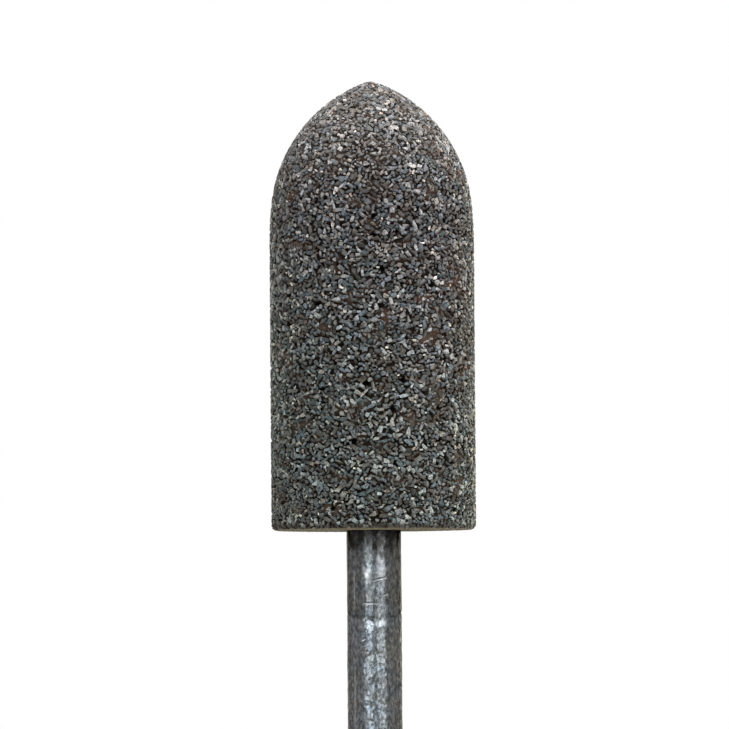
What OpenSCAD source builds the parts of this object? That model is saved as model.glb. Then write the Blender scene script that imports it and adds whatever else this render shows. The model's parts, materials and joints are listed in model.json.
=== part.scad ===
// Mounted point: a bullet-nosed abrasive head, cemented on the knurled end of a plain steel shank.
// All lengths are millimetres. The origin is on the axis, in the plane of the head's base.
// +Z runs along the axis to the tip, and the shank hangs below the origin.

/* [Head] */
// Diameter of the head along its straight side
head_d = 22.6; // [18:0.1:30]
// Length of the head from its base to its tip
head_l = 49.8; // [42:0.1:70]
// Radius of the arc that makes the pointed nose
nose_r = 16.2; // [15.8:0.1:28]
// Radius of the soft blend between the straight side and the nose
blend_r = 38; // [30:0.5:80]
// Degrees that the side turns inwards over the soft blend
blend_turn = 6.3; // [3:0.1:12]
// Diameter of the small flat that blunts the tip
tip_d = 0.8; // [0.4:0.1:3]
// Radius of the edge round the base
base_edge_r = 0.6; // [0.2:0.05:2]

/* [Shank] */
// Diameter of the shank
shank_d = 6; // [4:0.1:8]
// Length of the shank that stands out of the head
shank_reach = 40; // [20:0.5:80]
// Length of the shank that is buried in the head
shank_grip = 22; // [12:0.5:26]
// Chamfer on both ends of the shank
end_chamfer = 0.5; // [0.2:0.05:1]

/* [Knurl] */
// Number of grooves round the buried end
knurl_count = 20; // [8:1:24]
// Height of the knurl's crests above the plain shank
knurl_rise = 0.2; // [0.1:0.05:0.4]
// Depth of each groove below the crests
knurl_depth = 0.4; // [0.2:0.05:0.5]
// Plain length between the head's base and the start of the knurl
knurl_start = 0.15; // [0.05:0.05:2]

/* [Cement] */
// Thickness of the cement between the knurl's crests and the wall of the hole
cement_t = 0.2; // [0.1:0.05:0.6]
// Cement under the end of the shank, at the bottom of its hole
cement_floor = 0.5; // [0.2:0.05:2]

/* [Hidden] */
$fn = 96;

head_r = head_d / 2;
shank_r = shank_d / 2;
knurl_r = shank_r + knurl_rise;
hole_r = knurl_r + cement_t;
hole_depth = shank_grip + cement_floor;

// Most that the chords of an arc may lie inside it
arc_error = 0.004;

// Centres of the outline's arcs as [radius, height], with heights counted from the start of the blend
blend_centre = [head_r - blend_r, 0];
nose_centre = blend_centre + (blend_r - nose_r) * [cos(blend_turn), sin(blend_turn)];
nose_turn = acos((tip_d / 2 - nose_centre[0]) / nose_r);
shoulder_z = head_l - nose_centre[1] - nose_r * sin(nose_turn);

// Points along an arc after its first one, between two angles from the outward direction
function arc(centre, radius, from, to) =
    let (steps = ceil((to - from) / (2 * acos(1 - arc_error / radius))))
    [for (i = [1 : steps])
        let (angle = from + (to - from) * i / steps)
        centre + radius * [cos(angle), sin(angle)]];

// Half of the head's outline: base, rounded edge, straight side, soft blend, nose arc and blunt tip
function head_outline() =
    let (up = [0, shoulder_z])
    concat(
        [[0, 0], [head_r - base_edge_r, 0]],
        arc([head_r - base_edge_r, base_edge_r], base_edge_r, -90, 0),
        [[head_r, shoulder_z]],
        arc(blend_centre + up, blend_r, 0, blend_turn),
        arc(nose_centre + up, nose_r, blend_turn, nose_turn),
        [[0, head_l]]
    );

// Blind hole in the head's base, filled by the shank and its cement
module shank_hole() {
    cylinder(r = hole_r, h = hole_depth);
}

// The shank before its buried end is grooved: that end stands proud, as a rolled knurl does
module shank_blank() {
    low = -shank_reach;
    high = shank_grip;
    rotate_extrude()
        polygon([
            [0, low],
            [shank_r - end_chamfer, low],
            [shank_r, low + end_chamfer],
            [shank_r, knurl_start],
            [knurl_r, knurl_start + knurl_rise],
            [knurl_r, high - end_chamfer],
            [knurl_r - end_chamfer, high],
            [0, high],
        ]);
}

// Right-angled grooves along the buried end, which the cement keys into
module knurl_grooves() {
    groove_side = knurl_depth * sqrt(2);
    low = knurl_start + knurl_rise / 2;
    groove_l = shank_grip - low;
    for (i = [0 : knurl_count - 1])
        rotate(i * 360 / knurl_count)
            translate([knurl_r, 0, low + groove_l / 2])
                rotate(45)
                    cube([groove_side, groove_side, groove_l], center = true);
}

module shank() {
    color("slategray")
        difference() {
            shank_blank();
            knurl_grooves();
        }
}

module abrasive_head() {
    color("dimgray")
        difference() {
            rotate_extrude() polygon(head_outline());
            shank_hole();
        }
}

// The cement takes the room that the shank leaves in its hole
module cement() {
    color("tan")
        difference() {
            shank_hole();
            shank();
        }
}

abrasive_head();
shank();
cement();
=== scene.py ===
import bisect
import itertools
import json
import math
import random

import bmesh
import bpy
from mathutils import Matrix, Vector, noise


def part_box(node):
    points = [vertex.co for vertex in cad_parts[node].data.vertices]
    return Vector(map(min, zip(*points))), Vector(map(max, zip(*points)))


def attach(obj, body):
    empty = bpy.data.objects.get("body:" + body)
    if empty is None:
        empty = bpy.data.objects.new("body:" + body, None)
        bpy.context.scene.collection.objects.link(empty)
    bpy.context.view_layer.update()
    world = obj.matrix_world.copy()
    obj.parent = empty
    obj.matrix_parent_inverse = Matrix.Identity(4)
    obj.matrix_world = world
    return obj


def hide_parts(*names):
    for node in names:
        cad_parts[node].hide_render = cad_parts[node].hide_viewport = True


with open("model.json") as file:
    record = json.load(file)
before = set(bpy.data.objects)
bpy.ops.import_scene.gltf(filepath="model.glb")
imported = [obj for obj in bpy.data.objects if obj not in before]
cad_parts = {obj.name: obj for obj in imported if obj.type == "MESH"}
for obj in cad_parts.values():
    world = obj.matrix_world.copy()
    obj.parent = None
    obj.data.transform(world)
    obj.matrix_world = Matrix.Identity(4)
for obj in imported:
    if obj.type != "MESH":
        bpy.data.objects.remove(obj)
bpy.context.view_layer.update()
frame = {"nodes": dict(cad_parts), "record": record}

mm = 0.001
spinWeld = 0.002 * mm   # corners of a spun mesh that lie closer become one
scene = bpy.context.scene
scene.view_settings.view_transform = "Standard"
shankRadius = frame["record"]["mounts"][0]["dims"]["r_mm"] * mm
headLow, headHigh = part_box("abrasive_head")
shankLow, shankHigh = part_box("shank")
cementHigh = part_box("cement")[1]
print("frame: head", [round(x / mm, 2) for x in headHigh], "shank radius", shankRadius / mm)


# small helpers for materials; colours are written from 0 to 255, as a colour picker shows them

def linear(channel):
    channel /= 255
    return channel / 12.92 if channel <= 0.04045 else ((channel + 0.055) / 1.055) ** 2.4


def linearColour(colour):
    return tuple(linear(channel) for channel in colour) + (1,)


def newMaterial(name):
    material = bpy.data.materials.new(name)
    material.use_nodes = True
    shader = material.node_tree.nodes["Principled BSDF"]
    return material, material.node_tree, shader


def setShader(shader, values):
    for name, value in values.items():
        shader.inputs[name].default_value = value


def addNode(tree, kind, **values):
    node = tree.nodes.new("ShaderNode" + kind)
    for key, value in values.items():
        setattr(node, key, value)
    return node


def objectCoordinates(tree):
    return addNode(tree, "TexCoord").outputs["Object"]


def splitPlace(tree, place):
    node = addNode(tree, "SeparateXYZ")
    tree.links.new(place, node.inputs[0])
    return node.outputs


def scaleHeights(tree, place, factor):
    node = addNode(tree, "VectorMath", operation="MULTIPLY")
    node.inputs[1].default_value = (1, 1, factor)
    tree.links.new(place, node.inputs[0])
    return node.outputs[0]


def timesPlus(tree, value, factor, extra, clamp=False):
    node = addNode(tree, "Math", operation="MULTIPLY_ADD", use_clamp=clamp)
    tree.links.new(value, node.inputs[0])
    node.inputs[1].default_value = factor
    tree.links.new(extra, node.inputs[2])
    return node.outputs[0]


def noiseNode(tree, vector, size, detail, rough):
    node = addNode(tree, "TexNoise")
    node.inputs["Scale"].default_value = 1 / size
    node.inputs["Detail"].default_value = detail
    node.inputs["Roughness"].default_value = rough
    tree.links.new(vector, node.inputs["Vector"])
    return node.outputs["Fac"]


def colourRamp(tree, factor, stops):
    ramp = addNode(tree, "ValToRGB")
    elements = ramp.color_ramp.elements
    while len(elements) < len(stops):
        elements.new(0.5)
    for element, (place, colour) in zip(elements, stops):
        element.position = place
        element.color = linearColour(colour)
    tree.links.new(factor, ramp.inputs["Fac"])
    return ramp.outputs["Color"]


def mapRange(tree, value, low, high, newLow=0.0, newHigh=1.0):
    node = addNode(tree, "MapRange", clamp=True)
    limits = {"From Min": low, "From Max": high, "To Min": newLow, "To Max": newHigh}
    for name, number in limits.items():
        node.inputs[name].default_value = number
    tree.links.new(value, node.inputs["Value"])
    return node.outputs["Result"]


def mixColour(tree, factor, first, second, blend="MIX"):
    node = addNode(tree, "Mix", data_type="RGBA", blend_type=blend, clamp_result=True)
    for name, value in (("Factor", factor), ("A", first), ("B", second)):
        socket = node.inputs[name]
        if isinstance(value, (float, int)):
            socket.default_value = value
        elif isinstance(value, tuple):
            socket.default_value = linearColour(value)
        else:
            tree.links.new(value, socket)
    return node.outputs["Result"]


def attributeValue(tree, name):
    return addNode(tree, "Attribute", attribute_name=name).outputs["Fac"]


def bumpNode(tree, height, depth, strength):
    node = addNode(tree, "Bump")
    node.inputs["Strength"].default_value = strength
    node.inputs["Distance"].default_value = depth
    tree.links.new(height, node.inputs["Height"])
    return node.outputs["Normal"]


# small helpers for meshes

def addMesh(bm, name, material, smooth):
    mesh = bpy.data.meshes.new(name)
    bm.to_mesh(mesh)
    bm.free()
    mesh.materials.append(material)
    mesh.polygons.foreach_set("use_smooth", [smooth] * len(mesh.polygons))
    added = bpy.data.objects.new(name, mesh)
    scene.collection.objects.link(added)
    return added


def finishPiece(bm, name, material, smooth):
    piece = addMesh(bm, name, material, smooth)
    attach(piece, "root")
    return piece


def spinOutline(bm, segments):
    bmesh.ops.spin(bm, geom=bm.verts[:] + bm.edges[:], cent=(0, 0, 0), axis=(0, 0, 1), dvec=(0, 0, 0),
                   angle=2 * math.pi, steps=segments, use_merge=True, use_duplicate=False)
    bmesh.ops.remove_doubles(bm, verts=bm.verts[:], dist=spinWeld)
    bmesh.ops.recalc_face_normals(bm, faces=bm.faces[:])
    wrapMap(bm)


def poreAt(place, size, share):
    distances = noise.voronoi(place / size)[0]
    return max(0.0, 1.0 - distances[0] / share)


def withinLimits(value, low=0.0, high=1.0):
    return min(max(value, low), high)


# UV maps on which the pieces' finish can be baked

bakeMap = {
    "name": "OFBake",
    "margin": 0.005,     # free border of a spun piece's map
    "cellMargin": 0.1,   # free border of each grain face's cell
    "axis": 0.01 * mm,   # closer than this to the axis, a corner has no direction of its own
}


def wrapMap(bm):
    along = bm.verts.layers.float["along"]
    longest = max(vert[along] for vert in bm.verts)
    margin = bakeMap["margin"]
    used = 1 - 2 * margin
    places = bm.loops.layers.uv.new(bakeMap["name"])
    for face in bm.faces:
        middle = face.calc_center_median()
        centre = math.atan2(middle.y, middle.x) / (2 * math.pi)
        for loop in face.loops:
            place = loop.vert.co
            turn = math.atan2(place.y, place.x) / (2 * math.pi)
            if math.hypot(place.x, place.y) < bakeMap["axis"]:
                turn = centre
            turn += round(centre - turn)
            loop[places].uv = (0.5 + used * turn, margin + used * loop.vert[along] / longest)
    bm.verts.layers.float.remove(along)


def cellMap(bm):
    margin = bakeMap["cellMargin"]
    used = 1 - 2 * margin
    tiny = 1e-9
    places = bm.loops.layers.uv.new(bakeMap["name"])
    across = math.ceil(math.sqrt(len(bm.faces)))
    for number, face in enumerate(bm.faces):
        right = (face.verts[1].co - face.verts[0].co).normalized()
        up = face.normal.cross(right)
        flat = [(loop.vert.co.dot(right), loop.vert.co.dot(up)) for loop in face.loops]
        low = [min(values) for values in zip(*flat)]
        span = max(max(values) - start for values, start in zip(zip(*flat), low))
        corner = (number % across, number // across)
        for loop, place in zip(face.loops, flat):
            shares = [margin + used * (value - start) / max(span, tiny)
                      for value, start in zip(place, low)]
            loop[places].uv = [(cell + share) / across for cell, share in zip(corner, shares)]


# the head's outline, cut from the CAD head, from the tip down to the bottom of the shank's hole

headOutline = {
    "spacing": 0.21 * mm,    # distance between rows of the bond's mesh
    "holeSpacing": 3 * mm,   # the hole is hidden, so its rows are few
    "weld": 0.001 * mm,      # joins the CAD mesh where its triangles are loose
    "slack": 0.0001 * mm,    # how far off the cutting plane still counts as on it
    "merge": 0.02 * mm,      # corners of the cut that lie closer become one
    "straight": 0.2,         # degrees of turn under which a corner is left out
}


def inHole(radius, height, spare=0.05 * mm):
    return radius < cementHigh.x + spare and height < cementHigh.z + mm


def cutOutline():
    bm = bmesh.new()
    bm.from_mesh(frame["nodes"]["abrasive_head"].data)
    bmesh.ops.remove_doubles(bm, verts=bm.verts[:], dist=headOutline["weld"])
    for normal, inner in (((0, 1, 0), True), ((-1, 0, 0), False)):   # the section, then its right half
        whole = bm.verts[:] + bm.edges[:] + bm.faces[:]
        bmesh.ops.bisect_plane(bm, geom=whole, dist=headOutline["slack"], plane_co=(0, 0, 0),
                               plane_no=normal, clear_inner=inner, clear_outer=True)
    bmesh.ops.remove_doubles(bm, verts=bm.verts[:], dist=headOutline["merge"])
    bmesh.ops.dissolve_limit(bm, angle_limit=math.radians(headOutline["straight"]),
                             verts=bm.verts[:], edges=bm.edges[:])
    for edge in bm.edges[:]:
        middle = (edge.verts[0].co + edge.verts[1].co) / 2
        step = headOutline["holeSpacing" if inHole(middle.x, middle.z) else "spacing"]
        cuts = round(edge.calc_length() / step) - 1
        if cuts > 0:
            bmesh.ops.subdivide_edges(bm, edges=[edge], cuts=cuts)
    return bm


def orderedPoints(bm):
    along = bm.verts.layers.float.new("along")   # length of the outline from the tip, for its map
    onAxis = [vert for vert in bm.verts if abs(vert.co.x) < headOutline["merge"]]
    here = max(onAxis, key=lambda vert: vert.co.z)
    points = [here.co.copy()]
    last = None
    length = 0.0
    while True:
        ways = [edge for edge in here.link_edges if edge is not last]
        if not ways:
            return points
        last = ways[0]
        here = last.other_vert(here)
        length += last.calc_length()
        here[along] = length
        points.append(here.co.copy())


outline = cutOutline()
outlinePoints = orderedPoints(outline)
sidePoints = [point for point in reversed(outlinePoints)
              if point.z > headOutline["weld"] and not inHole(point.x, point.z)]
sideHeights = [point.z for point in sidePoints]
print("outline:", len(outline.verts), "points", len(outlinePoints), "in order")


# slow changes of hue over the head, which the bond and the grains share, with painted light on its left
# and right sides and a painted highlight on its nose

stoneTint = {
    "low": (250, 255, 248),          # a little greener low on its left
    "high": (255, 249, 250),
    "range": (9 * mm, 33 * mm),
    "slant": 0.6,                    # share of the way across that counts as height
    # painted light: warmer tints on the head's left and right sides
    "left": (255, 252, 240),
    "leftRange": (-8 * mm, -11.3 * mm),
    "right": (255, 250, 232),
    "rightRange": (8 * mm, 11.3 * mm),
    "noseHighlightHeights": (37 * mm, 46 * mm),      # painted highlight: the nose is paler, more and more between these heights
}


def tintStone(tree, place, colour):
    slant = timesPlus(tree, place["X"], stoneTint["slant"], place["Z"])
    drift = mapRange(tree, slant, *stoneTint["range"])
    drift = mixColour(tree, drift, stoneTint["low"], stoneTint["high"])
    colour = mixColour(tree, 1.0, colour, drift, "MULTIPLY")
    # painted light on the head's left and right sides
    for side in ("left", "right"):
        near = mapRange(tree, place["X"], *stoneTint[side + "Range"])
        colour = mixColour(tree, near, colour, stoneTint[side], "MULTIPLY")
    return colour


# the bond: the head's body under and between the grains

bondBody = {
    "segments": 318,
    "depth": 0.24 * mm,          # bond surface below the trued outline
    "waveSize": 0.5 * mm,
    "waveKind": (0.8, 2.0, 3),   # fall, step and count of its octaves
    "wave": 0.05 * mm,
    "patchSize": 2.6 * mm,       # patches where the bond stands higher and covers the grains
    "patch": 0.32 * mm,
    "patchDip": 0.02 * mm,       # most that it sinks between the patches
    "patchLay": 1.7,             # the patches lie level: they are this much wider than high
    "patchShift": (7, 3, 1),     # another choice moves the patches elsewhere
    "poreSize": 0.9 * mm,        # dimples between the grains
    "poreDepth": 0.42 * mm,
    "poreShare": 0.32,           # radius of a dimple as a share of its size
    "voidSize": 2.7 * mm,        # open pores, where no grain sits
    "voidDepth": 0.6 * mm,
    "voidShare": 0.16,
    "baseTop": 0.05 * mm,        # what lies lower is the moulded base, which is smoother
    "baseSink": 0.012 * mm,
    "baseWave": 0.16,            # shares of the waves and dimples that the base has
    "basePore": 0.3,
    "proud": 0.03 * mm,          # most that the bond stands out of the outline
    "level": 0.14,               # tone of the bond at the outline, before its grit
    "shadeDepth": 0.6 * mm,      # depth by which the tone falls by 1: painted shade, darker the deeper the bond lies
    "colours": [(0.0, (4, 3, 3)), (0.3, (25, 21, 18)), (0.6, (61, 50, 44)), (1.0, (103, 88, 79))],
    "gritNoise": (0.12 * mm, 4.0, 0.65),   # size, detail and roughness, as in every noise here
    "grit": 1.2,                 # how strongly fine grit changes the bond's tone
    "gritBump": (0.08 * mm, 0.8),          # depth and strength, as in every bump here
    "mottleNoise": (1.4 * mm, 3.0, 0.55),
    "mottle": [(0.35, (240, 242, 228)), (0.65, (255, 236, 226))],
    "noseHighlight": (108, 100, 93),      # painted highlight on the nose
    "noseHighlightShare": 0.18,
    "skinNoise": (0.5 * mm, 4.0, 0.6),
    "skin": [(0.38, (84, 76, 60)), (0.6, (140, 132, 106))],   # tan skin of the moulded base
    "skinRange": (0.12 * mm, 0.05 * mm),
    "shader": {"Roughness": 0.85, "Specular IOR Level": 0.05, "Diffuse Roughness": 0.8},
}


def bondMaterial():
    material, tree, shader = newMaterial("brownBond")
    place = objectCoordinates(tree)
    axes = splitPlace(tree, place)
    grit = noiseNode(tree, place, *bondBody["gritNoise"])
    # painted shade: the bond's tone falls the deeper it lies under the outline, to near black in the
    # pores
    level = timesPlus(tree, grit, bondBody["grit"], attributeValue(tree, "rise"), clamp=True)
    brown = colourRamp(tree, level, bondBody["colours"])
    mottle = noiseNode(tree, place, *bondBody["mottleNoise"])
    brown = mixColour(tree, 1.0, brown, colourRamp(tree, mottle, bondBody["mottle"]), "MULTIPLY")
    brown = tintStone(tree, axes, brown)
    # painted highlight: the bond turns paler towards the tip of the nose
    noseShine = mapRange(tree, axes["Z"], *stoneTint["noseHighlightHeights"], 0.0, bondBody["noseHighlightShare"])
    brown = mixColour(tree, noseShine, brown, bondBody["noseHighlight"])
    speck = noiseNode(tree, place, *bondBody["skinNoise"])
    skin = colourRamp(tree, speck, bondBody["skin"])
    base = mapRange(tree, axes["Z"], *bondBody["skinRange"])
    tree.links.new(mixColour(tree, base, brown, skin), shader.inputs["Base Color"])
    tree.links.new(bumpNode(tree, grit, *bondBody["gritBump"]), shader.inputs["Normal"])
    setShader(shader, bondBody["shader"])
    return material


def bondRise(place):
    wave = noise.fractal(place / bondBody["waveSize"], *bondBody["waveKind"]) * bondBody["wave"]
    pore = poreAt(place, bondBody["poreSize"], bondBody["poreShare"]) * bondBody["poreDepth"]
    if place.z < bondBody["baseTop"]:
        rise = wave * bondBody["baseWave"] - pore * bondBody["basePore"] - bondBody["baseSink"]
    else:
        level = Vector((place.x, place.y, place.z * bondBody["patchLay"])) / bondBody["patchSize"]
        patch = noise.noise(level + Vector(bondBody["patchShift"])) * bondBody["patch"]
        void = poreAt(place, bondBody["voidSize"], bondBody["voidShare"]) * bondBody["voidDepth"]
        rise = wave + max(patch, -bondBody["patchDip"]) - pore - void - bondBody["depth"]
    return min(rise, bondBody["proud"])


def makeBond():
    bm = outline.copy()
    spinOutline(bm, bondBody["segments"])
    bm.normal_update()
    toneAndShadeLayer = bm.verts.layers.float.new("rise")
    moves = []
    for vert in bm.verts:
        if inHole(math.hypot(vert.co.x, vert.co.y), vert.co.z):
            continue
        rise = bondRise(vert.co)
        # tone with painted shade, lower the deeper the bond lies
        vert[toneAndShadeLayer] = bondBody["level"] + rise / bondBody["shadeDepth"]
        moves.append((vert, vert.normal * rise))
    for vert, move in moves:
        vert.co += move
    return bm


bond = finishPiece(makeBond(), "bondBody", bondMaterial(), True)
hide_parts("abrasive_head")
print("bond:", len(bond.data.polygons), "faces")


# the grains: angular shards, set in the bond so that their worn faces lie on the trued outline

grains = {
    "seed": 5,
    "shapes": 24,                # different shards
    "cuts": 3,                   # corners knocked off each shard
    "cutReach": (0.3, 0.5),      # how far from its middle, as a share of its size
    "cutSlack": 0.001,
    "weld": 0.03,                # corners of a shard that lie closer become one
    "classes": [                 # piece name, size from, size to, tries
        ("coarseGrains", 0.48 * mm, 0.70 * mm, 4600),
        ("mediumGrains", 0.34 * mm, 0.48 * mm, 70000),
        ("fineGrains", 0.19 * mm, 0.32 * mm, 100000),
    ],
    "packing": 0.98,             # closest spacing of two grains as a share of their mean size
    "voidEdge": 0.02,            # no grain sits deeper in an open pore
    "holeRim": 0.3 * mm,         # no grain sits closer to the edge of the shank's hole
    "tilt": 60,                  # degrees that a grain may lean
    "tiltBias": 1.3,             # above 1, so that more grains lie flat
    "sway": 55,                  # degrees by which the long way of a grain strays from level
    "stretch": (1.0, 1.55),      # length of a grain as a share of its size
    "thick": (0.6, 0.9),
    "proud": 0.10 * mm,          # most that a grain stands out of the outline before it is trued
    "sunk": 0.14 * mm,           # most that a grain lies under it
    "buried": 0.3,               # share of its size by which its middle lies deeper
    "trued": 0.07 * mm,          # how far the trued grains may stand out of the outline
    "truedBase": 0.2,            # and near the base no more than this share of their height
    "leastSlope": 0.15,          # steepness and rise that count at the blunt tip
    "leastRise": 0.0001 * mm,
    "baseFacing": -0.9,          # surface that looks down more than this is the moulded base
    "baseShare": 0.12,           # share of the grains that shows there
    "tones": [
        (0.00, (57, 58, 55)),
        (0.14, (76, 89, 96)),
        (0.28, (97, 96, 94)),
        (0.42, (95, 110, 122)),
        (0.56, (115, 116, 115)),
        (0.68, (119, 132, 145)),
        (0.80, (154, 152, 149)),
        (0.90, (175, 185, 193)),
        (0.935, (194, 193, 191)),
        (0.94, (196, 164, 144)),
        (0.945, (195, 195, 192)),
        (0.98, (220, 220, 216)),
        (0.99, (246, 244, 238)),
    ],
    "palest": 0.93,              # tones above this are for grains up to the next size
    "palestSize": 0.4 * mm,
    "palestDrop": 0.1,           # larger grains are darker by this
    "dirtNoise": (0.16 * mm, 4.0, 0.6),
    "dirt": [(0.34, (122, 106, 88)), (0.57, (255, 255, 252))],
    "dirtBump": (0.03 * mm, 0.5),
    "bondStainAndShade": (50, 42, 33),   # the bond clings to the sides of the grains; deeper down this colour is also painted shade
    "stainAndShadeDepth": (0.04 * mm, 0.22 * mm),
    "stainAndShadeShare": 0.92,
    "film": (66, 54, 44),        # thin brown film of bond over patches of grains
    "filmNoise": (2.4 * mm, 3.0, 0.6),
    "filmRange": (0.49, 0.68),
    "filmShare": 0.8,
    "noseHighlightLift": (302, 299, 295),  # above 255, so that the grains of the nose are paler: a painted highlight
    "noseHighlight": (178, 171, 163),
    "noseHighlightShare": 0.12,
    "baseShadeRange": (0.9 * mm, 0.3 * mm),    # painted shade, in the bond's dark colour, on the rounded edge of the base
    "baseShadeShare": 0.7,
    "baseStain": (124, 115, 92),
    "baseRange": (0.12 * mm, 0.05 * mm),
    "baseStainShare": 0.8,
    "roughness": (0.3, 0.7, 0.35, 0.6),   # range of the dirt, and what it becomes
    "shader": {"Specular IOR Level": 0.2},
}


def randomDirection(rng):
    upward = rng.uniform(-1, 1)
    turn = rng.uniform(0, 2 * math.pi)
    flat = math.sqrt(1 - upward * upward)
    return Vector((flat * math.cos(turn), flat * math.sin(turn), upward))


def grainShape(number):
    rng = random.Random(grains["seed"] * 100 + number)
    bm = bmesh.new()
    bmesh.ops.create_cube(bm, size=1.0)
    for cut in range(grains["cuts"]):
        normal = randomDirection(rng)
        reach = rng.uniform(*grains["cutReach"])
        whole = bm.verts[:] + bm.edges[:] + bm.faces[:]
        bmesh.ops.bisect_plane(bm, geom=whole, dist=grains["cutSlack"], plane_co=normal * reach,
                               plane_no=normal, clear_outer=True)
        rim = [edge for edge in bm.edges if edge.is_boundary]
        if rim:
            bmesh.ops.holes_fill(bm, edges=rim, sides=0)
    bmesh.ops.remove_doubles(bm, verts=bm.verts[:], dist=grains["weld"])
    bmesh.ops.recalc_face_normals(bm, faces=bm.faces[:])
    mesh = bpy.data.meshes.new("grainShape")
    bm.to_mesh(mesh)
    bm.free()
    mesh.attributes.new("tone", "FLOAT", "POINT")
    return mesh


def grainMaterial():
    material, tree, shader = newMaterial("abrasiveGrain")
    place = objectCoordinates(tree)
    axes = splitPlace(tree, place)
    height = axes["Z"]
    colour = colourRamp(tree, attributeValue(tree, "tone"), grains["tones"])
    dirt = noiseNode(tree, place, *grains["dirtNoise"])
    colour = mixColour(tree, 1.0, colour, colourRamp(tree, dirt, grains["dirt"]), "MULTIPLY")
    depth = attributeValue(tree, "depth")
    # bond stain on the grains' sides, and painted shade: darker the deeper they lie under the outline
    stainAndShade = mapRange(tree, depth, *grains["stainAndShadeDepth"], 0.0, grains["stainAndShadeShare"])
    colour = mixColour(tree, stainAndShade, colour, grains["bondStainAndShade"])
    film = noiseNode(tree, scaleHeights(tree, place, bondBody["patchLay"]), *grains["filmNoise"])
    film = mapRange(tree, film, *grains["filmRange"], 0.0, grains["filmShare"])
    colour = mixColour(tree, film, colour, grains["film"])
    colour = tintStone(tree, axes, colour)
    # painted highlight: the grains turn paler towards the tip of the nose
    nose = mapRange(tree, height, *stoneTint["noseHighlightHeights"])
    colour = mixColour(tree, nose, colour, grains["noseHighlightLift"], "MULTIPLY")
    noseShine = mapRange(tree, height, *stoneTint["noseHighlightHeights"], 0.0, grains["noseHighlightShare"])
    colour = mixColour(tree, noseShine, colour, grains["noseHighlight"])
    # painted shade over the rounded edge of the base, low on the head
    edge = mapRange(tree, height, *grains["baseShadeRange"], 0.0, grains["baseShadeShare"])
    colour = mixColour(tree, edge, colour, grains["bondStainAndShade"])
    base = mapRange(tree, height, *grains["baseRange"], 0.0, grains["baseStainShare"])
    colour = mixColour(tree, base, colour, grains["baseStain"])
    tree.links.new(colour, shader.inputs["Base Color"])
    tree.links.new(bumpNode(tree, dirt, *grains["dirtBump"]), shader.inputs["Normal"])
    tree.links.new(mapRange(tree, dirt, *grains["roughness"]), shader.inputs["Roughness"])
    setShader(shader, grains["shader"])
    return material


def surfaceStrips():
    strips, areas = [], []
    for start, end in zip(outlinePoints, outlinePoints[1:]):
        middle = (start + end) / 2
        if inHole(middle.x, middle.z, grains["holeRim"]):
            continue
        along = end - start
        strips.append((start, end, Vector((-along.z, 0, along.x)).normalized()))
        areas.append(middle.x * along.length)
    return strips, areas


def isClear(place, size, key, taken):
    for dx, dy, dz in itertools.product((-1, 0, 1), repeat=3):
        for other, otherSize in taken.get((key[0] + dx, key[1] + dy, key[2] + dz), ()):
            if (other - place).length < grains["packing"] * (size + otherSize) / 2:
                return False
    return True


def scatterGrains():
    rng = random.Random(grains["seed"])
    strips, areas = surfaceStrips()
    cell = max(large for name, small, large, tries in grains["classes"])
    taken = {}   # grains by cell, so that only near ones are compared
    found = {}
    for name, small, large, tries in grains["classes"]:
        found[name] = []
        for start, end, normal in rng.choices(strips, areas, k=tries):
            size = rng.uniform(small, large)
            spin = Matrix.Rotation(rng.uniform(0, 2 * math.pi), 3, "Z")
            place = spin @ start.lerp(end, rng.random())
            outward = spin @ normal
            if outward.z < grains["baseFacing"] and rng.random() > grains["baseShare"]:
                continue
            if poreAt(place, bondBody["voidSize"], bondBody["voidShare"]) > grains["voidEdge"]:
                continue
            key = tuple(math.floor(axis / cell) for axis in place)
            if isClear(place, size, key, taken):
                taken.setdefault(key, []).append((place, size))
                found[name].append((place, outward, size))
    return found


def outlineAt(height):
    spot = withinLimits(bisect.bisect_left(sideHeights, height), 1, len(sidePoints) - 1)
    low, high = sidePoints[spot - 1], sidePoints[spot]
    along = high - low
    share = withinLimits((height - low.z) / max(along.z, grains["leastRise"]))
    return low.x + share * along.x, max(along.z / along.length, grains["leastSlope"])


def trueGrains(bm):
    depthLayer = bm.verts.layers.float.new("depth")
    spare = grains["trued"]
    for vert in bm.verts:
        place = vert.co
        place.z = withinLimits(place.z, headLow.z, headHigh.z + spare)
        radius = math.hypot(place.x, place.y)
        most, slope = outlineAt(place.z)
        depth = (most - radius) * slope
        limit = min(spare, place.z * grains["truedBase"])
        if depth < -limit:
            shrink = (most + limit / slope) / radius
            place.x *= shrink
            place.y *= shrink
        vert[depthLayer] = max(depth, 0.0)


def grainMatrix(rng, place, outward, size):
    lean = math.radians(grains["tilt"]) * rng.random() ** grains["tiltBias"]
    axis = outward.orthogonal().normalized()
    axis.rotate(Matrix.Rotation(rng.uniform(0, 2 * math.pi), 3, outward))
    up = outward.copy()
    up.rotate(Matrix.Rotation(lean, 3, axis))
    turn = up.to_track_quat("Z", "Y").to_matrix().to_4x4()
    turn = turn @ Matrix.Rotation(math.radians(rng.gauss(0, grains["sway"])), 4, "Z")
    stretch = rng.uniform(*grains["stretch"])
    thick = rng.uniform(*grains["thick"])
    scale = Matrix.Diagonal((size * stretch, size / stretch, size * thick, 1))
    level = rng.uniform(-grains["sunk"], grains["proud"]) - grains["buried"] * size
    return Matrix.Translation(place + outward * level) @ turn @ scale


def grainTone(rng, size):
    tone = rng.random()
    if tone > grains["palest"] and size > grains["palestSize"]:
        tone -= grains["palestDrop"]
    return tone


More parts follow.
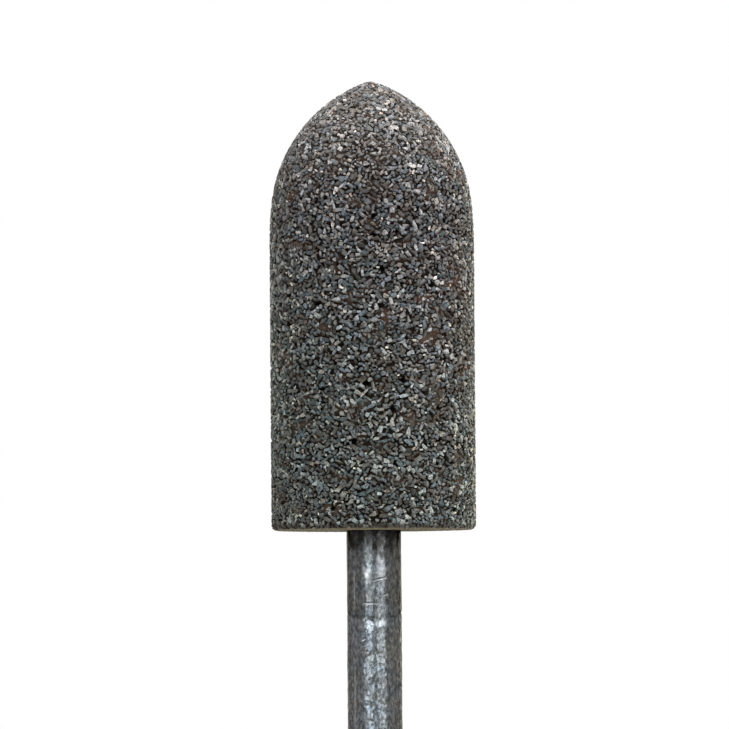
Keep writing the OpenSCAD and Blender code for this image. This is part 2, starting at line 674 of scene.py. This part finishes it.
def makeGrains():
    rng = random.Random(grains["seed"] + 1)
    shapes = [grainShape(number) for number in range(grains["shapes"])]
    material = grainMaterial()
    for name, spots in scatterGrains().items():
        bm = bmesh.new()
        for place, outward, size in spots:
            shape = rng.choice(shapes).copy()
            shape.transform(grainMatrix(rng, place, outward, size))
            tone = grainTone(rng, size)
            shape.attributes["tone"].data.foreach_set("value", [tone] * len(shape.vertices))
            bm.from_mesh(shape)
            bpy.data.meshes.remove(shape)
        trueGrains(bm)
        bm.normal_update()
        cellMap(bm)
        piece = finishPiece(bm, name, material, False)
        triangles = sum(len(polygon.vertices) - 2 for polygon in piece.data.polygons)
        print("grains:", name, len(spots), "grains", triangles, "triangles")
    for shape in shapes:
        bpy.data.meshes.remove(shape)


makeGrains()


# the shank: drawn steel, dulled and scuffed, with its knurled end in the head

shankBar = {
    "segments": 188,
    "spacing": 0.105 * mm,       # distance between rows of its mesh
    "chamfer": 0.5 * mm,         # this and the knurl have the CAD shank's sizes
    "knurlStart": 0.15 * mm,
    "knurlRise": 0.2 * mm,
    "knurlDepth": 0.4 * mm,
    "knurlGrooves": 20,
    "lift": 0.03 * mm,           # the rough skin stands a little over the CAD shank
    "proud": 0.03 * mm,          # most that its ripples and waves add to that
    "ripple": 0.026 * mm,
    "rippleSize": 0.5 * mm,
    "rippleKind": (0.9, 2.0, 3),
    "wave": 0.03 * mm,
    "waveSize": 2.0 * mm,
    "pitSize": 0.5 * mm,
    "pitShare": 0.42,
    "pitDepth": 0.030 * mm,
    "upperRough": 0.5,           # share of the ripples and pits above the ring mark
    "creaseHeight": -9.15 * mm,  # the ring mark
    "creaseHalfWidth": 0.28 * mm,
    "creaseDepth": 0.08 * mm,
    "creaseDip": 0.7 * mm,       # how far it dips at the front
    "creaseFade": 0.5,           # and how much it fades there
    "creaseBreak": 0.8 * mm,     # size of the breaks in it
    "wander": 0.2 * mm,
    "wanderSize": 1.2 * mm,
    "wanderKind": (0.8, 2.0, 3),
    "streak": 0.55,              # fine marks are drawn out along the shank
    # start and end as degrees round the shank and height, half width, depth, bare; lengths in mm
    "scratches": [
        ((-97, -5.75), (-62, -5.3), 0.13, 0.06, 0.55),
        ((-117, -8.15), (-79, -8.2), 0.11, 0.05, 0.5),
        ((-137, -4.2), (-136, -8.8), 0.12, 0.02, 0.34),
        ((-136, -14.5), (-137, -23.5), 0.12, 0.02, 0.3),
        ((-118, -12.3), (-106, -12.0), 0.13, 0.06, 0.5),
        ((-72, -7.3), (-60, -7.1), 0.12, 0.05, 0.4),
    ],
    "scratchEdge": 1.6,          # above 1, so that the bare metal of a scratch has a firm edge
    "scratchTaper": 3,           # the higher, the blunter its ends
    # degrees round the shank, height, half width, half height, bare; lengths in mm
    "patches": [
        (-106, -4.9, 0.7, 1.2, 0.5),
        (-74, -4.3, 0.9, 1.4, 0.3),
        (-103, -10.5, 1.0, 0.8, 0.45),
        (-76, -10.3, 0.8, 0.6, 0.5),
    ],
    "ragged": 0.7,               # how ragged the edges of the patches are
    "raggedSize": 0.45 * mm,
    "bare": (176, 180, 184),     # brighter metal in the scratches and rubbed patches
    "grainNoise": (0.3 * mm, 3.0, 0.6),
    "colours": [(0.36, (72, 73, 74)), (0.5, (96, 98, 101)), (0.64, (124, 127, 131))],
    "grainBump": (0.02 * mm, 0.5),
    "hueNoise": (1.6 * mm, 2.0, 0.5),
    "hues": [(0.35, (247, 253, 255)), (0.65, (255, 251, 240))],
    "limbReflectionTints": [                   # painted reflection: lighter towards the shank's left and right edges, with a slow change of hue from its left to its right
        (0.0, (255, 247, 246)), (0.2, (240, 239, 241)), (0.4, (236, 241, 245)),
        (0.6, (236, 240, 243)), (0.82, (234, 232, 228)), (1.0, (254, 246, 238)),
    ],
    "upperTint": (231, 229, 227),        # the shank is a little darker above the ring mark
    "upperRange": (-9.8 * mm, -8.9 * mm),
    "headShadeAndRingDark": (26, 24, 21),        # painted shade on the shank near the head, and the dark colour of the ring mark
    "headShadeRange": (3.2 * mm, 0.6 * mm),   # depths below the head where the painted shade starts and where it is full
    "headShadeBlotch": 9.0 * mm,      # how far its edge wanders
    "headShadeShare": 0.93,
    "creaseDarkening": 0.85,
    "smudgeNoise": (0.7 * mm, 5.0, 0.65),
    "roughness": (0.35, 0.65, 0.16, 0.32),   # range of the smudges, and what it becomes
    "shader": {"Metallic": 1.0, "Specular Tint": (0.4, 0.4, 0.38, 1)},
}


def shankMaterial():
    material, tree, shader = newMaterial("dullSteel")
    place = objectCoordinates(tree)
    axes = splitPlace(tree, place)
    drawn = scaleHeights(tree, place, shankBar["streak"])
    grain = noiseNode(tree, drawn, *shankBar["grainNoise"])
    colour = colourRamp(tree, grain, shankBar["colours"])
    hue = noiseNode(tree, place, *shankBar["hueNoise"])
    colour = mixColour(tree, 1.0, colour, colourRamp(tree, hue, shankBar["hues"]), "MULTIPLY")
    # painted reflection: the shank is lighter towards its left and right edges
    across = mapRange(tree, axes["X"], -shankRadius, shankRadius)
    colour = mixColour(tree, 1.0, colour, colourRamp(tree, across, shankBar["limbReflectionTints"]), "MULTIPLY")
    upper = mapRange(tree, axes["Z"], *shankBar["upperRange"])
    colour = mixColour(tree, upper, colour, shankBar["upperTint"], "MULTIPLY")
    mark = attributeValue(tree, "mark")
    colour = mixColour(tree, mark, colour, shankBar["bare"])
    # painted shade on the shank under the head, with a blotchy edge
    smudge = noiseNode(tree, drawn, *shankBar["smudgeNoise"])
    edge = timesPlus(tree, smudge, -shankBar["headShadeBlotch"], axes["Z"])
    start, full = [-depth - shankBar["headShadeBlotch"] / 2 for depth in shankBar["headShadeRange"]]
    film = mapRange(tree, edge, start, full, 0.0, shankBar["headShadeShare"])
    colour = mixColour(tree, film, colour, shankBar["headShadeAndRingDark"])
    # the ring mark's dark colour
    ring = mapRange(tree, mark, 0.0, -1.0, 0.0, shankBar["creaseDarkening"])
    colour = mixColour(tree, ring, colour, shankBar["headShadeAndRingDark"])
    tree.links.new(colour, shader.inputs["Base Color"])
    tree.links.new(mapRange(tree, smudge, *shankBar["roughness"]), shader.inputs["Roughness"])
    tree.links.new(bumpNode(tree, grain, *shankBar["grainBump"]), shader.inputs["Normal"])
    setShader(shader, shankBar["shader"])
    return material


def marksAt(turn, height):
    depth, bare = 0.0, 0.0
    here = Vector((turn * shankRadius, height))
    for (startTurn, startHeight), (endTurn, endHeight), width, most, shine in shankBar["scratches"]:
        start = Vector((math.radians(startTurn) * shankRadius, startHeight * mm))
        end = Vector((math.radians(endTurn) * shankRadius, endHeight * mm))
        along = end - start
        share = withinLimits((here - start).dot(along) / along.length_squared)
        taper = 1.0 - abs(2 * share - 1) ** shankBar["scratchTaper"]
        near = max(0.0, 1.0 - (here - start - along * share).length / (width * mm)) * taper
        depth = max(depth, most * mm * near)
        bare = max(bare, shine * min(1.0, shankBar["scratchEdge"] * near))
    ragged = noise.noise(Vector((here.x, here.y, 0)) / shankBar["raggedSize"]) * shankBar["ragged"]
    for patchTurn, patchHeight, halfWidth, halfHeight, shine in shankBar["patches"]:
        across = (here.x - math.radians(patchTurn) * shankRadius) / (halfWidth * mm)
        upward = (here.y - patchHeight * mm) / (halfHeight * mm)
        bare = max(bare, shine * withinLimits(1.0 - math.hypot(across, upward) + ragged))
    return depth, bare


def creaseAt(place, front):
    flat = Vector((place.x, place.y, 0))
    height = shankBar["creaseHeight"] - front ** 2 * shankBar["creaseDip"]
    height += noise.fractal(flat / shankBar["wanderSize"], *shankBar["wanderKind"]) * shankBar["wander"]
    near = max(0.0, 1.0 - abs(place.z - height) / shankBar["creaseHalfWidth"])
    broken = noise.noise(place / shankBar["creaseBreak"])
    return height, near * withinLimits(1.0 - shankBar["creaseFade"] * front + broken)


def skinAt(place, outward):
    drawn = Vector((place.x, place.y, place.z * shankBar["streak"]))
    ripple = noise.fractal(drawn / shankBar["rippleSize"], *shankBar["rippleKind"]) * shankBar["ripple"]
    wave = noise.noise(place / shankBar["waveSize"]) * shankBar["wave"]
    creaseHeight, crease = creaseAt(place, max(0.0, -outward.y))
    rough = 1.0 if place.z < creaseHeight else shankBar["upperRough"]
    pit = poreAt(place, shankBar["pitSize"], shankBar["pitShare"]) * shankBar["pitDepth"] * rough
    scratch, bare = marksAt(math.atan2(place.y, place.x), place.z)
    sink = max(pit, scratch, crease * shankBar["creaseDepth"])
    rise = min(ripple * rough + wave, shankBar["proud"]) + shankBar["lift"] - sink
    return rise, bare - crease


def shankOutline(knurlRadius):
    low, high = shankLow.z, shankHigh.z
    chamfer, knurlStart = shankBar["chamfer"], shankBar["knurlStart"]
    corners = [
        (0, low), (shankRadius - chamfer, low), (shankRadius, low + chamfer),
        (shankRadius, knurlStart), (knurlRadius, knurlStart + shankBar["knurlRise"]),
        (knurlRadius, high - chamfer), (knurlRadius - chamfer, high), (0, high),
    ]
    bm = bmesh.new()
    along = bm.verts.layers.float.new("along")
    verts = [bm.verts.new((radius, 0, height)) for radius, height in corners]
    for last, vert in zip(verts, verts[1:]):
        vert[along] = last[along] + (vert.co - last.co).length
    edges = [bm.edges.new(pair) for pair in zip(verts, verts[1:])]
    plain = edges[2]   # only the length that shows gets close rows
    bmesh.ops.subdivide_edges(bm, edges=[plain], cuts=round(plain.calc_length() / shankBar["spacing"]))
    return bm


def makeShank():
    knurlRadius = shankRadius + shankBar["knurlRise"]
    knurlLow = shankBar["knurlStart"] + shankBar["knurlRise"] / 2
    pitch = 2 * math.pi / shankBar["knurlGrooves"]
    bm = shankOutline(knurlRadius)
    spinOutline(bm, shankBar["segments"])
    markLayer = bm.verts.layers.float.new("mark")
    for vert in bm.verts:
        place = vert.co
        radius = math.hypot(place.x, place.y)
        if radius < shankRadius / 2:
            continue
        outward = Vector((place.x, place.y, 0)) / radius
        if place.z > knurlLow:
            turn = math.atan2(place.y, place.x)
            fromGroove = abs(turn / pitch - round(turn / pitch)) * pitch * knurlRadius
            bottom = knurlRadius - shankBar["knurlDepth"] + fromGroove
            vert.co += outward * min(0.0, bottom - radius)
        elif place.z > shankLow.z + shankBar["chamfer"]:
            rise, vert[markLayer] = skinAt(place, outward)
            vert.co += outward * rise
    return bm


shank = finishPiece(makeShank(), "shankBar", shankMaterial(), True)
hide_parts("shank")
print("shank:", len(shank.data.polygons), "faces")


# the cement keeps its CAD solid, and gets a finish of its own

cementRing = {
    "gritNoise": (0.2 * mm, 4.0, 0.6),
    "gritBump": (0.03 * mm, 0.5),
    "colours": [(0.3, (70, 60, 48)), (0.6, (104, 92, 74)), (0.8, (128, 116, 96))],
    "shader": {"Roughness": 0.8, "Specular IOR Level": 0.2},
}


def cementMaterial():
    material, tree, shader = newMaterial("brownCement")
    grit = noiseNode(tree, objectCoordinates(tree), *cementRing["gritNoise"])
    tree.links.new(colourRamp(tree, grit, cementRing["colours"]), shader.inputs["Base Color"])
    tree.links.new(bumpNode(tree, grit, *cementRing["gritBump"]), shader.inputs["Normal"])
    setShader(shader, cementRing["shader"])
    return material


cement = frame["nodes"]["cement"]
cement.data.materials.clear()
cement.data.materials.append(cementMaterial())
print("cement: finished")


# floor, light and camera

studio = {
    "floorRadius": 2.5,
    "floorSegments": 96,
    "floorShader": {
        "Base Color": linearColour((202, 202, 202)), "Roughness": 0.9, "Specular IOR Level": 0.1,
    },
    "floorFade": (0.12, 0.55),    # the floor turns into the white backdrop between these distances
    "worldFront": 0.05,           # light on rough surfaces from the camera's side
    "worldBack": 0.42,            # and from the white backdrop; what is seen or mirrored is white
    "worldRange": (-0.6, 0.8),    # where the one turns into the other, from front to back
    "lampAim": 0.4,               # share of the head's height that the lamps point at
    # name, azimuth, elevation, distance, width, height, glow, colour, mirrored
    "lamps": [
        ("topLamp", 22, 62, 0.9, 0.8, 0.8, 6.2, (1.0, 0.99, 0.98), True),
        ("leftLamp", -22, 2, 0.9, 0.54, 0.23, 4.6, (0.93, 0.98, 1.0), True),
        ("rightLamp", 28, 2, 0.9, 0.56, 0.23, 4.4, (0.97, 0.99, 1.0), True),
        ("backLamp", 106, 18, 0.9, 0.5, 0.8, 3.9, (1.0, 0.98, 0.94), False),
        ("rearLamp", -170, 8, 0.9, 0.6, 0.5, 3.0, (1.0, 0.99, 0.97), False),
        ("leftRimLamp", -152, 6, 0.9, 0.16, 0.4, 2.4, (1.0, 0.97, 0.9), True),
        ("rightRimLamp", 146, 6, 0.9, 0.16, 0.4, 4.8, (1.0, 0.97, 0.92), True),
    ],
}


def seenOrMirrored(tree):
    path = addNode(tree, "LightPath")
    seen = path.outputs["Is Camera Ray"]
    for name in ("Is Glossy Ray", "Is Transmission Ray"):
        either = addNode(tree, "Math", operation="MAXIMUM")
        tree.links.new(seen, either.inputs[0])
        tree.links.new(path.outputs[name], either.inputs[1])
        seen = either.outputs[0]
    return seen


def floorMaterial():
    material, tree, shader = newMaterial("paleFloor")
    setShader(shader, studio["floorShader"])
    away = addNode(tree, "VectorMath", operation="LENGTH")
    tree.links.new(objectCoordinates(tree), away.inputs[0])
    far = mapRange(tree, away.outputs["Value"], *studio["floorFade"])
    share = addNode(tree, "Math", operation="MULTIPLY")
    tree.links.new(far, share.inputs[0])
    tree.links.new(seenOrMirrored(tree), share.inputs[1])
    white = addNode(tree, "Emission")
    mix = addNode(tree, "MixShader")
    tree.links.new(share.outputs[0], mix.inputs[0])
    tree.links.new(shader.outputs[0], mix.inputs[1])
    tree.links.new(white.outputs[0], mix.inputs[2])
    tree.links.new(mix.outputs[0], tree.nodes["Material Output"].inputs["Surface"])
    return material


def makeFloor():
    bm = bmesh.new()
    bmesh.ops.create_circle(bm, cap_ends=True, segments=studio["floorSegments"],
                            radius=studio["floorRadius"], matrix=Matrix.Translation((0, 0, shankLow.z)))
    addMesh(bm, "floor", floorMaterial(), False)


def makeWorld():
    world = bpy.data.worlds.new("whiteStudio")
    scene.world = world
    world.use_nodes = True
    tree = world.node_tree
    backdrop = tree.nodes["Background"]
    backdrop.inputs["Color"].default_value = (1, 1, 1, 1)
    way = splitPlace(tree, addNode(tree, "TexCoord").outputs["Generated"])
    glow = mapRange(tree, way["Y"], *studio["worldRange"], studio["worldFront"], studio["worldBack"])
    strength = addNode(tree, "Mix")
    tree.links.new(seenOrMirrored(tree), strength.inputs["Factor"])
    tree.links.new(glow, strength.inputs["A"])
    strength.inputs["B"].default_value = 1.0
    tree.links.new(strength.outputs["Result"], backdrop.inputs["Strength"])


def makeLamps():
    middle = Vector((0, 0, headHigh.z * studio["lampAim"]))
    for name, azimuth, elevation, distance, width, height, glow, colour, mirrored in studio["lamps"]:
        turn, rise = math.radians(azimuth), math.radians(elevation)
        way = Vector((math.sin(turn) * math.cos(rise), -math.cos(turn) * math.cos(rise), math.sin(rise)))
        light = bpy.data.lights.new(name, "AREA")
        light.shape = "RECTANGLE"
        light.size = width
        light.size_y = height
        light.energy = glow * math.pi * width * height   # so that glow is how bright the lamp looks
        light.color = colour
        lamp = bpy.data.objects.new(name, light)
        lamp.location = middle + way * distance
        lamp.rotation_mode = "QUATERNION"
        lamp.rotation_quaternion = way.to_track_quat("Z", "Y")
        lamp.visible_camera = False
        lamp.visible_glossy = mirrored
        scene.collection.objects.link(lamp)


view = {
    "pixels": 729,
    "millimetresPerPixel": 0.111,
    "basePixel": (373.8, 530.3),     # where the axis meets the head's base
    "lean": 0.41,                    # degrees that the tool leans to the left
    "below": 1.0,                    # degrees that the camera sits below the head's base
    "distance": 1.0,
    "sensor": 36.0,
    "clip": (0.05, 20),
}


def makeCamera():
    lean = math.radians(view["lean"])
    down = math.radians(view["below"])
    scale = view["millimetresPerPixel"] * mm
    right = Vector((math.cos(lean), 0, -math.sin(lean)))
    up = Vector((math.sin(lean), 0, math.cos(lean)))
    fromBase = [view["pixels"] / 2 - pixel for pixel in view["basePixel"]]
    target = right * fromBase[0] * scale - up * fromBase[1] * scale
    place = Vector((0, -math.cos(down), -math.sin(down))) * view["distance"]
    back = (place - target).normalized()
    right = up.cross(back).normalized()
    up = back.cross(right)
    data = bpy.data.cameras.new("photoCamera")
    data.sensor_width = view["sensor"]
    data.lens = view["sensor"] * (place - target).length / (view["pixels"] * scale)
    data.clip_start, data.clip_end = view["clip"]
    camera = bpy.data.objects.new("photoCamera", data)
    camera.matrix_world = Matrix.Translation(place) @ Matrix((right, up, back)).transposed().to_4x4()
    scene.collection.objects.link(camera)
    scene.camera = camera


makeFloor()
makeWorld()
makeLamps()
makeCamera()
print("studio: floor, world, lamps and camera")
